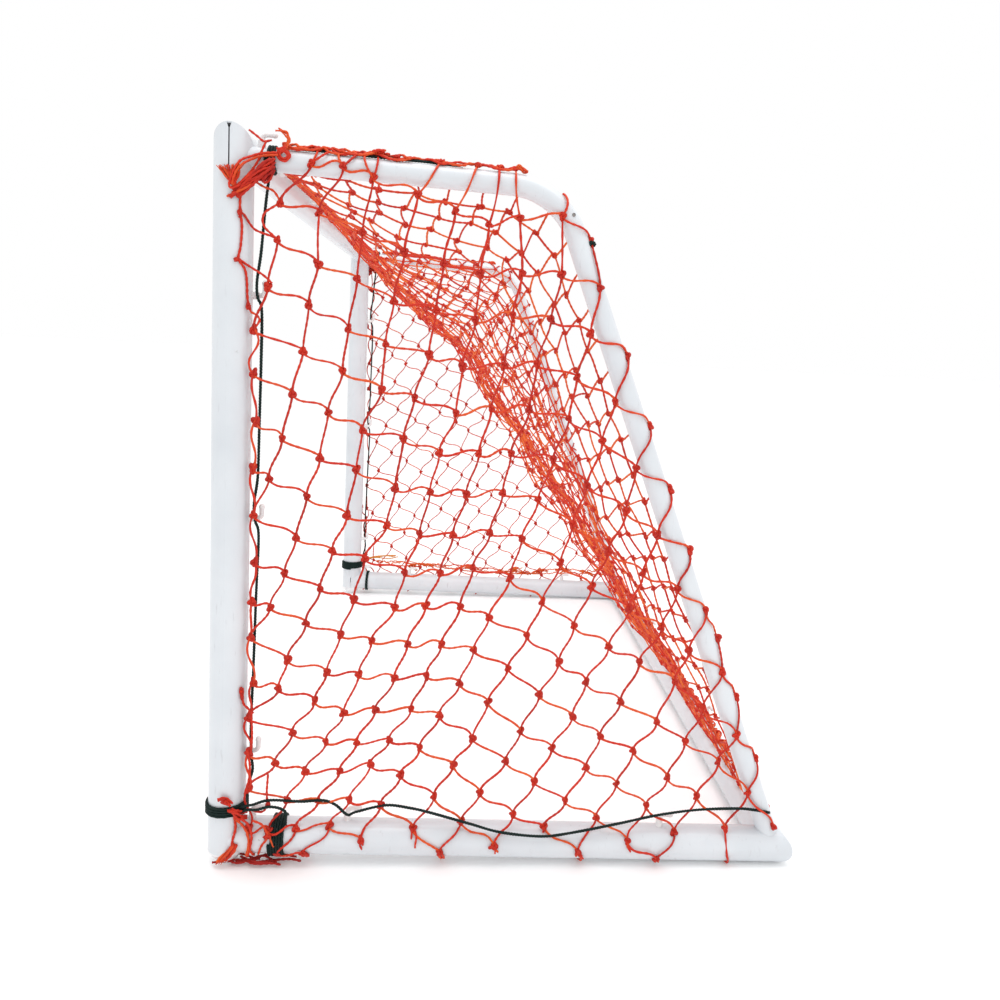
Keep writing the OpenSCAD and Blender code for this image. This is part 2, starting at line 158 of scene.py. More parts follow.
HOOP_LINE = hoop_at(np.linspace(0, HOOP_RUN, HOOP_SAMPLES))
HOOP_OUT = hoop_at(np.linspace(0, HOOP_RUN, HOOP_SAMPLES), 1.0) - HOOP_LINE


def past_hoop(yz):
    """For (y, z) points: the nearest hoop sample, its outward way, and how far past it they are."""
    gap = yz[..., None, :] - HOOP_LINE
    near = np.argmin((gap**2).sum(-1), -1)
    out = HOOP_OUT[near]
    return near, out, ((yz - HOOP_LINE[near]) * out).sum(-1)


def base_z(y):
    """Height of the base tube's axis."""
    return BASE_FRONT_Z + (y - POST_Y) * (REAR_Z - BASE_FRONT_Z) / (REAR_Y - POST_Y)


def round_tube(s, radius, x_flat):
    """Where a flat net meets a side tube: s is how far past the tube's axis it runs.

    Gives the x of the twine and the distance from the axis it ends up at."""
    inner = np.clip(s / radius, -1, 0)
    angle = np.clip(s / radius, 0, ROUND_TUBE)
    x = POST_X + radius * np.where(s > 0, np.cos(angle), np.sqrt(1 - inner**2))
    reach = np.where(s > 0, radius * np.sin(angle), s)
    return np.where(s < -radius, x_flat, np.maximum(x, np.where(s < 0, x_flat, -1))), reach


def lay_side(yz, lift=0.0):
    """Lays flat side-net points (y, z) on the side plane and round the tubes they cross."""
    yz = np.array(yz, float)
    flat = yz.reshape(-1, 2)
    _, out, s = past_hoop(flat)
    x, reach = round_tube(s, HOOP_R + TWINE_R + lift, NET_X + lift)
    laid = flat + (reach - s)[:, None] * out
    under = base_z(laid[:, 0]) - laid[:, 1]
    x_base, reach_base = round_tube(under, BASE_R + TWINE_R + lift, NET_X + lift)
    laid[:, 1] = base_z(laid[:, 0]) - reach_base
    x = np.where(under > -BASE_R, x_base, x)
    return np.concatenate([x[:, None], laid], 1).reshape(*yz.shape[:-1], 3)


# ---- mesh builders ----


class Pile:
    """Vertices, faces and one shade per vertex, gathered into one mesh."""

    def __init__(self):
        self.v, self.f, self.s, self.count = [], [], [], 0

    def add(self, verts, faces, shade):
        verts = verts.reshape(-1, 3)
        self.v.append(verts)
        self.f.extend((faces + self.count).tolist())
        self.s.append(shade)
        self.count += len(verts)

    def build(self, name, material, mirror=False):
        verts = np.vstack(self.v)
        if mirror:
            verts = verts * [-1, 1, 1]
        faces = [f[::-1] for f in self.f] if mirror else self.f
        shade = np.concatenate(self.s).astype(np.float32)
        mesh = bpy.data.meshes.new(name)
        mesh.from_pydata(verts.tolist(), [], faces)
        mesh.polygons.foreach_set("use_smooth", np.ones(len(faces), bool))
        mesh.attributes.new("shade", "FLOAT", "POINT").data.foreach_set("value", shade)
        mesh.materials.append(material)
        mesh.update()
        piece = bpy.data.objects.new(name, mesh)
        bpy.context.scene.collection.objects.link(piece)
        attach(piece, "root")
        return piece


def sweep(pile, paths, radius, sides=8, plies=2, lobe=0.16, lay=0.014, shade=0.5, taper=None):
    """Twisted strands along paths (b, n, 3), closed at both ends."""
    paths = np.asarray(paths, float)
    if paths.ndim == 2:
        paths = paths[None]
    b, n = paths.shape[:2]
    way = unit(np.gradient(paths, axis=1))
    ref = np.where(np.abs(way[:, :1, 2:]) < 0.9, [[[0, 0, 1.0]]], [[[1.0, 0, 0]]])
    across = np.empty_like(paths)
    across[:, 0] = unit(np.cross(way[:, 0], ref[:, 0]))
    for i in range(1, n):
        prev = across[:, i - 1]
        across[:, i] = unit(prev - (prev * way[:, i]).sum(-1, keepdims=True) * way[:, i])
    up = np.cross(across, way)
    steps = np.linalg.norm(np.diff(paths, axis=1), axis=-1)
    along = np.concatenate([np.zeros((b, 1)), np.cumsum(steps, 1)], 1)
    start = rng.random((b, 1)) * math.tau
    a = np.arange(sides) / sides * math.tau
    turn = a - along[..., None] / lay * math.tau - start[..., None]
    r = np.broadcast_to(radius, (b,))[:, None, None] * (1 - lobe + lobe * np.cos(plies * turn))
    if taper is not None:
        r = r * np.asarray(taper)[None, :, None]
    cos, sin = np.cos(a)[:, None], np.sin(a)[:, None]
    verts = paths[:, :, None] + (across[:, :, None] * cos + up[:, :, None] * sin) * r[..., None]
    first = (np.arange(b)[:, None, None] * n + np.arange(n - 1)[None, :, None]) * sides
    k, m = np.arange(sides), (np.arange(sides) + 1) % sides
    quads = np.stack([first + k, first + m, first + sides + m, first + sides + k], -1)
    base = pile.count
    shades = np.repeat(np.broadcast_to(shade, (b,)), n * sides)
    pile.add(verts, quads.reshape(-1, 4), shades)
    for i in range(b):
        low = base + i * n * sides
        high = low + (n - 1) * sides
        pile.f.append(list(range(low + sides - 1, low - 1, -1)))
        pile.f.append(list(range(high, high + sides)))


KNOT_RINGS, KNOT_SIDES = 22, 6
KNOT_CORD_R = 0.0018
KNOT_HALF_LONG, KNOT_HALF_WIDE, KNOT_DEPTH = 0.0042, 0.0030, 0.0016
KNOT_TILT = 0.45  # radians, the usual lean of a knot off its column
KNOT_SIZES = (0.85, 1.2)


def knot_shape():
    """A small pulled-tight knot: a closed strand that passes over itself three times."""
    t = np.linspace(0, math.tau, KNOT_RINGS, endpoint=False)
    x = KNOT_HALF_LONG * (np.cos(t) - 2 * np.cos(2 * t)) / 3 * 1.15
    y = KNOT_HALF_WIDE * (np.sin(t) + 2 * np.sin(2 * t)) / 2.6
    path = np.stack([x, y, -KNOT_DEPTH * np.sin(3 * t)], 1)
    way = unit(np.roll(path, -1, 0) - np.roll(path, 1, 0))
    across = unit(np.cross(way, [[0, 0, 1.0]]))
    up = np.cross(across, way)
    a = (np.arange(KNOT_SIDES) / KNOT_SIDES * math.tau)[:, None]
    ring = across[:, None] * np.cos(a) + up[:, None] * np.sin(a)
    verts = path[:, None] + KNOT_CORD_R * ring
    i, k = np.meshgrid(np.arange(KNOT_RINGS), np.arange(KNOT_SIDES), indexing="ij")
    here, after = i * KNOT_SIDES, (i + 1) % KNOT_RINGS * KNOT_SIDES
    m = (k + 1) % KNOT_SIDES
    faces = np.stack([here + k, here + m, after + m, after + k], -1).reshape(-1, 4)
    return verts.reshape(-1, 3), faces


KNOT_V, KNOT_F = knot_shape()


def knots(pile, at, down, normal, size, shade):
    """Knots at points, long axis near down, lying in the surface with that normal."""
    n = len(at)
    down = unit(down)
    side = unit(np.cross(normal, down))
    up = np.cross(down, side)
    tilt = (rng.normal(0, KNOT_TILT, n) + math.pi * (rng.random(n) < 0.5))[:, None]
    cos, sin = np.cos(tilt), np.sin(tilt)
    down, side = cos * down + sin * side, cos * side - sin * down
    scale = np.asarray(size) * rng.uniform(*KNOT_SIZES, (n, 3))
    local = KNOT_V[None] * scale[:, None]
    axes = (down[:, None], side[:, None], up[:, None])
    x, y, z = (local[..., k, None] * axis for k, axis in enumerate(axes))
    faces = (KNOT_F[None] + (np.arange(n) * len(KNOT_V))[:, None, None]).reshape(-1, 4)
    shades = np.repeat(shade + rng.uniform(-0.1, 0.1, n), len(KNOT_V))
    pile.add(at[:, None] + x + y + z, faces, shades)


# ---- materials ----


def material(name):
    m = bpy.data.materials.new(name)
    m.use_nodes = True
    return m, m.node_tree, m.node_tree.nodes["Principled BSDF"]


def add(tree, kind, **values):
    node = tree.nodes.new(kind)
    for key, value in values.items():
        if hasattr(node, key):
            setattr(node, key, value)
        else:
            node.inputs[key].default_value = value
    return node


def object_coords(tree):
    return add(tree, "ShaderNodeTexCoord").outputs["Object"]


def noise(tree, coords, scale, detail, rough=0.55):
    node = add(tree, "ShaderNodeTexNoise", Scale=scale, Detail=detail, Roughness=rough)
    tree.links.new(coords, node.inputs["Vector"])
    return node.outputs["Fac"]


def ramp(tree, source, stops):
    """A colour ramp; a stop is (place, colour) or (place, grey level)."""
    node = tree.nodes.new("ShaderNodeValToRGB")
    while len(node.color_ramp.elements) < len(stops):
        node.color_ramp.elements.new(0.5)
    for element, (place, colour) in zip(node.color_ramp.elements, stops):
        element.position = place
        element.color = (*(colour if isinstance(colour, tuple) else (colour,) * 3), 1)
    tree.links.new(source, node.inputs[0])
    return node.outputs[0]


def mix(tree, factor, a, b, blend="MIX"):
    node = tree.nodes.new("ShaderNodeMix")
    node.data_type = "RGBA"
    node.blend_type = blend
    for index, value in ((0, factor), (6, a), (7, b)):
        if isinstance(value, bpy.types.NodeSocket):
            tree.links.new(value, node.inputs[index])
        else:
            node.inputs[index].default_value = value if index == 0 else (*value, 1)
    return node.outputs[2]


def times_plus(tree, value, factor, addend):
    """value * factor + addend, where the addend is a number or another node's output."""
    node = add(tree, "ShaderNodeMath", operation="MULTIPLY_ADD")
    tree.links.new(value, node.inputs[0])
    node.inputs[1].default_value = factor
    if isinstance(addend, bpy.types.NodeSocket):
        tree.links.new(addend, node.inputs[2])
    else:
        node.inputs[2].default_value = addend
    return node.outputs[0]


def bump(tree, height, strength, distance, normal=None):
    node = add(tree, "ShaderNodeBump", Strength=strength, Distance=distance)
    tree.links.new(height, node.inputs["Height"])
    if normal is not None:
        tree.links.new(normal, node.inputs["Normal"])
    return node.outputs["Normal"]


def feed(tree, shader, **sockets):
    for key, source in sockets.items():
        tree.links.new(source, shader.inputs[key.replace("_", " ")])


def strand_material(name, colours, roughness, gloss):
    """Twisted fibre: colour by strand, blotches, fine fibres and stray light streaks."""
    m, tree, shader = material(name)
    coords = object_coords(tree)
    shade = add(tree, "ShaderNodeAttribute", attribute_name="shade").outputs["Fac"]
    blotch = noise(tree, coords, 55, 4)
    fibre = noise(tree, coords, 1400, 2)
    place = times_plus(tree, times_plus(tree, blotch, 0.6, shade), 0.84, -0.25)
    fine = ramp(tree, fibre, [(0.3, 0.72), (0.7, 1.12)])
    colour = mix(tree, 1.0, ramp(tree, place, colours), fine, "MULTIPLY")
    rough = ramp(tree, blotch, [(0.3, roughness - 0.1), (0.7, roughness + 0.12)])
    fuzz = bump(tree, fibre, 0.35, 0.0004)
    feed(tree, shader, Base_Color=colour, Roughness=rough, Normal=fuzz)
    shader.inputs["Specular IOR Level"].default_value = gloss
    return m


PAINT_LOW, PAINT_HIGH = (0.63, 0.665, 0.70), (0.71, 0.74, 0.77)
DULL_STREAK, SCUFF = (0.55, 0.56, 0.59), (0.30, 0.27, 0.25)
STREAK_SCALE = (60, 60, 9)


def paint_material():
    """White enamel on tube: faint orange peel, dull streaks, a few rubbed scuffs."""
    m, tree, shader = material("white_enamel")
    coords = object_coords(tree)
    peel = noise(tree, coords, 420, 2)
    cloud = noise(tree, coords, 9, 4)
    scuff = noise(tree, coords, 38, 6, 0.7)
    stretch = add(tree, "ShaderNodeMapping", Scale=STREAK_SCALE)
    tree.links.new(coords, stretch.inputs["Vector"])
    streak = noise(tree, stretch.outputs[0], 3.0, 5, 0.6)
    body = ramp(tree, cloud, [(0.3, PAINT_LOW), (0.7, PAINT_HIGH)])
    dulled = mix(tree, ramp(tree, streak, [(0.62, 0), (0.78, 1)]), body, DULL_STREAK)
    marks = ramp(tree, scuff, [(0.68, 0), (0.74, 1)])
    colour = mix(tree, marks, dulled, SCUFF)
    rough = ramp(tree, cloud, [(0.3, 0.28), (0.75, 0.42)])
    worn = bump(tree, marks, 0.3, -0.0003, bump(tree, peel, 0.12, 0.0006))
    feed(tree, shader, Base_Color=colour, Roughness=rough, Normal=worn)
    shader.inputs["Coat Weight"].default_value = 0.25
    shader.inputs["Coat Roughness"].default_value = 0.12
    return m


def plastic_material(name, low, high, roughness):
    m, tree, shader = material(name)
    coords = object_coords(tree)
    cloud = noise(tree, coords, 90, 4)
    colour = ramp(tree, cloud, [(0.3, low), (0.7, high)])
    rough = ramp(tree, cloud, [(0.3, roughness - 0.06), (0.7, roughness + 0.1)])
    grain = bump(tree, noise(tree, coords, 1800, 2), 0.2, 0.0002)
    feed(tree, shader, Base_Color=colour, Roughness=rough, Normal=grain)
    return m


def steel_material():
    m, tree, shader = material("dull_steel")
    cloud = noise(tree, object_coords(tree), 260, 5)
    colour = ramp(tree, cloud, [(0.35, (0.16, 0.16, 0.17)), (0.7, (0.34, 0.30, 0.27))])
    rough = ramp(tree, cloud, [(0.3, 0.3), (0.7, 0.55)])
    feed(tree, shader, Base_Color=colour, Roughness=rough, Normal=bump(tree, cloud, 0.3, 0.0003))
    shader.inputs["Metallic"].default_value = 0.85
    return m


RED = [
    (0.0, (0.38, 0.008, 0.004)),
    (0.42, (0.66, 0.026, 0.006)),
    (0.84, (0.86, 0.16, 0.020)),
    (1.0, (0.72, 0.28, 0.03)),
]
GREEN = [
    (0.0, (0.002, 0.008, 0.008)),
    (0.5, (0.004, 0.018, 0.015)),
    (1.0, (0.013, 0.042, 0.036)),
]
TWINE = strand_material("red_twine", RED, 0.58, 0.34)
CORD = strand_material("green_cord", GREEN, 0.65, 0.22)
PAINT = paint_material()
CAP = plastic_material("white_plastic", (0.72, 0.73, 0.75), (0.86, 0.86, 0.87), 0.4)
HOOK = plastic_material("hook_plastic", (0.74, 0.74, 0.75), (0.85, 0.85, 0.84), 0.34)
STEEL = steel_material()

for name, node in nodes.items():
    finish = PAINT
    if name.endswith("_hooks"):
        finish = HOOK
    elif name.endswith("foot_cap"):
        finish = CAP
    elif "sleeve" in name or "rivets" in name:
        finish = STEEL
    node.data.materials.clear()
    node.data.materials.append(finish)

# ---- side nets ----

BAR_POINTS = 13
FRONT_EDGE = -0.327
HOOP_EDGE = 0.0205
REAR_LIMIT = 0.318
# Past the front edge, the hoop or the base by the first figure a knot belongs to that edge,
# and past the second it is dropped
FRONT_CATCH, FRONT_DROP = -0.012, 0.026
HOOP_CATCH, HOOP_DROP = 0.014, 0.042
BASE_CATCH, BASE_DROP = 0.004, 0.017
LONGEST_BORDER_BAR = 0.11
SIDE_JITTER = 0.0024
KNOT_EXIT = 0.003  # bars leave and meet a knot this far below and above its middle
EDGE_KNOT_SIZE = 1.12
LEFT_THICK = 0.82  # the left net's twine and knots beside the right net's
LOOP_THICK = 0.95
LOWEST_LIFT = 0.0025  # a loop under the base tube stays this far off the ground


def right_knot(c, r):
    """Where knot (column, row) of the right side net hangs, as (y, z)."""
    y = -0.259 + 0.0476 * c - 0.0064 * r - 0.00056 * r**2 - 0.00065 * c * r
    z = 0.763 - 0.0216 * c + 0.0016 * c**2 - 0.0001 * c**3 - 0.0565 * r + 0.0007 * r**2
    return np.stack([y, z + 0.042 * np.exp(-(((c - 6.7) / 2.0) ** 2))], -1)


def left_knot(c, r):
    """The left side net hangs more on the slant, in smaller even meshes."""
    return np.stack([-0.06 + 0.040 * c - 0.028 * r, 0.44 - 0.025 * c - 0.046 * r], -1)


def slack_row(a, b, amount):
    """Bars along a row: out low and level from one knot, up, and down into the next."""
    run = b - a
    length = np.linalg.norm(run, axis=-1, keepdims=True)
    up = np.stack([-run[:, 1], run[:, 0]], 1) / length
    t = np.linspace(0, 1, BAR_POINTS)[None, :, None]
    line = a[:, None] + t * run[:, None]
    low_to_high = 0.0028 * (2 * t - 1) * np.abs(2 * t - 1)
    wave = -np.sin(math.tau * t) * amount[:, None, None]
    hump = 0.25 * np.sin(math.pi * t) * amount[:, None, None]
    return line + np.array([0, 1.0]) * low_to_high + (wave + hump) * up[:, None]


def slack_column(a, b, pull):
    """Bars down a column: they leave and meet the knots nearly upright."""
    length = np.linalg.norm(b - a, axis=-1, keepdims=True)
    way = (b - a) / length
    upright = length * (way + pull * (np.array([0, -1.0]) - way))
    return hermite(a - [0, KNOT_EXIT], b + [0, KNOT_EXIT], upright, upright, BAR_POINTS)


# Under the right top run the knots hang where the lacing pulls them, and twine ties them up
TOP_KNOTS = metres([
    (-301, 827), (-266, 874), (-229, 873), (-194, 862), (-141, 846),
    (-96, 830), (-55, 816), (-18, 826), (33, 831), (75, 807),
])
TOP_COLUMNS = (-1, -1, 0, 1, 2, 3, 4, 5, 6, 7)
TOP_ROWS = (-1, -2, -2, -2, -2, -2, -2, -2, -2, -2)
TOP_TIES = [(-262, -246), (-235, -215), (-206, -191), (-116,), (-72,), (-46,), (-26,), (29,)]


def tie_up(knot, spot):
    """Twine from a knot under the hoop up to the spot (y in millimetres) above it."""
    top = hoop_at(spot / 1000 - POST_Y, HOOP_EDGE + 0.002)
    away = np.sign(top[0] - knot[0]) * 0.012
    leave, arrive = (top - knot) + [away, -0.004], (top - knot) + [-away, 0.008]
    return hermite(knot, top, leave, arrive, BAR_POINTS)[None]


def side_net(name, replaced, knot_at, mirror):
    pile = Pile()
    if mirror:
        cols, rows, thick = np.arange(-16, 18), np.arange(-14, 15), LEFT_THICK
    else:
        cols, rows, thick = np.arange(-4, 20), np.arange(-5, 19), 1.0
    c, r = np.meshgrid(cols, rows, indexing="ij")
    flat = knot_at(c.astype(float), r.astype(float))
    flat = flat + rng.normal(0, SIDE_JITTER, (*c.shape, 2))
    near, out, past = past_hoop(flat)
    before = FRONT_EDGE - flat[..., 0]
    under = base_z(flat[..., 0]) - flat[..., 1]
    on_front, on_hoop, on_base = before > FRONT_CATCH, past > HOOP_CATCH, under > BASE_CATCH
    keep = (before < FRONT_DROP) & (past < HOOP_DROP) & (under < BASE_DROP)
    keep &= ~(on_front & on_hoop) & ~(on_hoop & on_base) & ~(on_front & on_base)
    keep &= (flat[..., 0] < REAR_LIMIT) | (under < 0)
    flat[..., 1] += np.where(on_front, -0.45 * before, 0)
    front_y = FRONT_EDGE + rng.uniform(-0.003, 0.003, c.shape)
    flat[..., 0] = np.where(on_front, front_y, flat[..., 0])
    pull_in = past - HOOP_EDGE + rng.uniform(-0.002, 0.002, c.shape)
    flat -= np.where(on_hoop, pull_in, 0)[..., None] * out
    ties = []
    if not mirror:
        keep &= (r > -2) | (c > 7)
        for column, row, spot in zip(TOP_COLUMNS, TOP_ROWS, TOP_KNOTS):
            place = (c == column) & (r == row)
            flat[place] = spot
            keep |= place
            on_hoop &= ~place
        for column, spots in zip(TOP_COLUMNS[1:], TOP_TIES):
            knot = flat[(c == column) & (r == -2)][0]
            ties.extend(tie_up(knot, spot) for spot in spots)
    at = lay_side(flat)
    lean = lay_side(flat + [-0.001, -0.008]) - at
    edge = keep & (on_front | on_hoop)
    size = thick * np.where(edge, EDGE_KNOT_SIZE, 1.0)[keep][:, None]
    outward = np.broadcast_to([1.0, 0, 0], (len(size), 3))
    knots(pile, at[keep], lean[keep], outward, size, 0.3)

    def pairs(dc, dr):
        """Start and end of every bar that runs from a kept knot by (dc, dr) to another."""
        from_, to = np.s_[: len(cols) - dc, : len(rows) - dr], np.s_[dc:, dr:]
        linked = keep[from_] & keep[to] & ~(edge[from_] & edge[to])
        if not mirror and dr:
            linked[(c[from_] == -1) & (r[from_] == -1)] = False
        return flat[from_][linked], flat[to][linked]

    a, b = pairs(0, 1)
    down = slack_column(a, b, rng.uniform(0.35, 0.85, (len(a), 1)))
    a, b = pairs(1, 0)
    level = slack_row(a, b, rng.uniform(0.0012, 0.0042, len(a)))
    borders = []
    on_top = near < HOOP_SAMPLES * (TOP_RUN + BEND_RUN + 0.05) / HOOP_RUN
    for on, order in ((on_front, flat[..., 1]), (on_hoop & on_top, near)):
        line = flat[keep & on][np.argsort(order[keep & on])]
        close = np.linalg.norm(np.diff(line, axis=0), axis=1) < LONGEST_BORDER_BAR
        slack = rng.uniform(-0.006, 0.006, close.sum())
        borders.append(slack_row(line[:-1][close], line[1:][close], slack))
    borders = np.concatenate([*borders, *ties])
    for bars, low, high in ((down, 0.22, 0.48), (level, 0.42, 0.74), (borders, 0.3, 0.7)):
        count = len(bars)
        path = lay_side(bars)
        bow = rng.normal(0, 0.0022, (count, 1)) * np.sin(np.linspace(0, math.pi, BAR_POINTS))
        path[..., 0] += rng.uniform(-0.0004, 0.0010, (count, 1)) + np.abs(bow)
        radius = TWINE_R * thick * rng.uniform(0.86, 1.06, count)
        sweep(pile, path, radius, shade=rng.uniform(low, high, count))

    last = keep.copy()
    last[:, :-1] &= ~keep[:, 1:]
    ends = flat[last & (under > -0.03) & ~on_hoop]
    loose_ends(pile, ends)
    loops_round_base(pile, ends[::3])
    piece = pile.build(name, TWINE, mirror)
    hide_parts(replaced)


def loose_ends(pile, ends):
    """Two short tails on each lowest knot."""
    for longest in (0.019, 0.011):
        drop = rng.uniform(0.007, longest, (len(ends), 1)) * [0.25, -1.0]
        drop = drop + rng.normal(0, 0.003, (len(ends), 2))
        tails = hermite(ends, ends + drop, drop + rng.normal(0, 0.008, drop.shape), drop, 8)
        laid = lay_side(tails, 0.0008)
        laid[..., 2] = np.maximum(laid[..., 2], 0.003)
        shade = rng.uniform(0.35, 0.75, len(ends))
        sweep(pile, laid, TWINE_R, shade=shade, taper=np.linspace(1.0, 0.8, 8))


def loops_round_base(pile, ends):
    """From some of the lowest knots the twine goes on under the base tube."""
    under_tube = np.linspace(0, 1.9 * BASE_R, 10)
    sway = 0.006 * np.sin(np.linspace(0, 3, 10))
    for y, z in ends:
        loop = np.stack([y + sway, base_z(y) - np.maximum(under_tube, base_z(y) - z)], 1)
        loop[0] = y, z
        laid = lay_side(loop, 0.0004)
        laid[:, 2] = np.maximum(laid[:, 2], LOWEST_LIFT)
        sweep(pile, laid, TWINE_R * LOOP_THICK, shade=rng.uniform(0.3, 0.6))


side_net("right_side_twine", "right_side_net", right_knot, False)
side_net("left_side_twine", "left_side_net", left_knot, True)

# ---- back net ----

BACK_COLS, BACK_ROWS = 34, 28
BACK_PARTS = 4
BACK_JITTER = 0.0022
BACK_THICK, BACK_KNOT_SIZE = 0.92, 0.88
BACK_START = BACK_TOP[0] - POST_Y
BACK_END = HOOP_RUN - (BACK_FOOT[1] - REAR_Z) / math.sin(-STAY_PITCH)
ROOF_DROP = 0.020  # how far the net sags between the hoops just behind the crossbar


def back_at(u, v, fold=True):
    """A point of the back net: u runs across from -1 to 1, v from the crossbar to the rear bar."""
    u, v = np.broadcast_arrays(np.asarray(u, float), np.asarray(v, float))
    hoop = hoop_at(BACK_START + (BACK_END - BACK_START) * v)
    middle = BACK_TOP + (BACK_FOOT - BACK_TOP) * v[..., None]
    w = (np.cosh(BACK_SAG * u) / np.cosh(BACK_SAG))[..., None]
    p = middle + (hoop - middle) * w
    if fold:
        drop = ROOF_DROP * (1 - u**4) * np.sin(math.pi * np.clip(v / 0.3, 0, 1))
        p = p - drop[..., None] * np.array([0.0, 1.0])
        still = (1 - u**2) * np.sin(math.pi * np.clip(v, 0, 1)) ** 0.5
        ripple = 0.010 * np.sin(9 * u + 5 * v) + 0.008 * np.sin(23 * u - 11 * v + 1)
        ripple = ripple + 0.006 * np.sin(41 * v + 6 * u)
        p = p + (still * ripple)[..., None] * np.array([0.75, 0.65])
    return np.concatenate([(u * BACK_X)[..., None], p], -1)


def back_net():
    cols, rows = BACK_COLS, BACK_ROWS
    across = np.linspace(-1, 1, 401)
    reach = length_along(back_at(across, 0.5, fold=False))
    even = np.interp(np.linspace(0, reach[-1], cols + 1), reach, across)
    i, j = np.meshgrid(np.arange(cols + 1), np.arange(rows + 1), indexing="ij")
    loose = np.minimum(np.minimum(i, cols - i), np.minimum(j, rows - j)).clip(0, 1)
    u = even[i] + loose * rng.normal(0, 0.004, i.shape)
    v = j / rows + loose * rng.normal(0, 0.0028, i.shape)
    at = back_at(u, v) + loose[..., None] * rng.normal(0, BACK_JITTER, (*i.shape, 3))
    along = back_at(u, v + 0.01) - back_at(u, v - 0.01)
    over = back_at(np.clip(u + 0.01, -1, 1), v) - back_at(np.clip(u - 0.01, -1, 1), v)
    normal = unit(np.cross(over, along))
    along, over = unit(along), unit(over)
    for part, columns in enumerate(np.array_split(np.arange(cols + 1), BACK_PARTS)):
        pile = Pile()
        pick = np.isin(i, columns)
        knots(pile, at[pick], along[pick], normal[pick], BACK_KNOT_SIZE, 0.42)
        for chosen, di, dj in ((pick & (j < rows), 0, 1), (pick & (i < cols), 1, 0)):
            q, w = i[chosen], j[chosen]
            count = len(q)
            a, b = at[q, w], at[q + di, w + dj]
            length = np.linalg.norm(b - a, axis=-1, keepdims=True)
            way = (b - a) / length
            if di:
                bend = rng.uniform(0.05, 0.4, (count, 1)) * along[q, w]
            else:
                bend = rng.normal(0, 0.12, (count, 1)) * over[q, w]
            lift = rng.normal(0, 0.10, (count, 1)) * normal[q, w]
            a = a + 0.0025 * along[q, w] * di
            b = b - 0.0025 * along[q + di, w + dj] * di
            leave, arrive = way - bend + lift, way + bend * di - bend * dj - lift
            path = hermite(a, b, length * leave, length * arrive, BAR_POINTS)
            path[..., 2] -= 0.0015 * np.sin(np.linspace(0, math.pi, BAR_POINTS))
            radius = BACK_THICK * TWINE_R * rng.uniform(0.9, 1.08, count)
            # The back net's strands take a lighter, more orange range of shade than the side nets:
            # painted light, for the top of the goal lit from above
            sweep(pile, path, radius, shade=rng.uniform(0.4, 0.95, count))
        pile.build(f"back_twine_{part + 1}", TWINE)
    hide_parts("back_net")
    edge_loops(at)


HOOP_TURN = np.linspace(math.pi, 2.1, 16)
CROSSBAR_HOOK = [
    (0, 0, 0), (0.001, -0.003, 0.009), (0.002, -0.011, 0.0165), (0.003, -0.0165, 0.0165),
    (0.003, -0.0185, 0.0125), (0.004, -0.0155, 0.0095), (0.004, -0.009, 0.006),
]
REAR_HOOK = [
    (0, 0, 0), (0.001, 0.008, 0.003), (0.002, 0.0175, 0.0045), (0.003, 0.0225, 0.001),
    (0.004, 0.0215, -0.004),
]


def edge_loops(at):
    """Loops that hold the back net: round the hoops, the crossbar cord and the rear border."""
    pile = Pile()
    t, back = np.linspace(0, 1, 16), np.linspace(1, 0, 16)
    for sign, column in ((-1, 0), (1, -1)):
        for j in range(1, BACK_ROWS):
            for slant in (-0.012, 0.010)[: 1 + j % 2]:
                drift = slant * t**1.5 * rng.uniform(0.3, 1.3)
                run = BACK_START + (BACK_END - BACK_START) * j / BACK_ROWS + drift
                radius = HOOP_R + TWINE_R + 0.0045 * back**3
                x = sign * (POST_X + radius * np.cos(HOOP_TURN))
                yz = hoop_at(run, radius * np.sin(HOOP_TURN))
                path = np.concatenate([x[:, None], yz], 1)
                path[0] = at[column, j]
                sweep(pile, path, TWINE_R * LOOP_THICK, shade=rng.uniform(0.3, 0.7))
    for i in range(1, BACK_COLS):
        for hook, knot in ((CROSSBAR_HOOK, at[i, 0]), (REAR_HOOK, at[i, -1])):
            path = smooth_path(np.array(hook) + knot, 0.0025)
            sweep(pile, path, TWINE_R * LOOP_THICK, shade=rng.uniform(0.3, 0.7))
    pile.build("back_net_loops", TWINE)


back_net()

# ---- lacing cord, on the routes that part.scad gives ----

POST_CORD = [
    (592, -316, 858), (592, -320, 820), (592, -324, 770), (593.5, -328, 735),
    (593.5, -327, 716), (593.5, -322, 700), (593, -322, 640), (593, -323, 560),
    (593, -324, 500), (593.5, -328, 465), (593.5, -326, 444), (593, -322, 425),
    (593, -324, 350), (593, -326, 260), (593.5, -328, 180), (593.5, -327, 144),
    (594, -325, 125), (597, -329, 108), (598, -333, 92),
]
BASE_CORD = [
    (606, -336, 81), (606, -322, 84), (604, -301, 89), (603, -262, 87),
    (602, -235, 88), (602, -219, 82), (602, -204, 69), (602, -193, 73),
    (602, -156, 82), (603, -125, 79), (605, -99, 74), (608, -48, 61),
    (610, -9, 51), (611, 43, 46), (610, 82, 50), (606, 146, 61),
    (603, 198, 71), (602, 251, 78), (602, 304, 80), (602, 328, 78), (602, 348, 74.5),
]
TIE_CORD = [
    (606.5, -335.5, 75), (607.5, -327, 78), (608, -316, 78.5), (607.5, -302, 82),
    (606, -290, 80), (604.5, -281.5, 74), (602.5, -281, 64), (600.8, -281.5, 54.5),
]
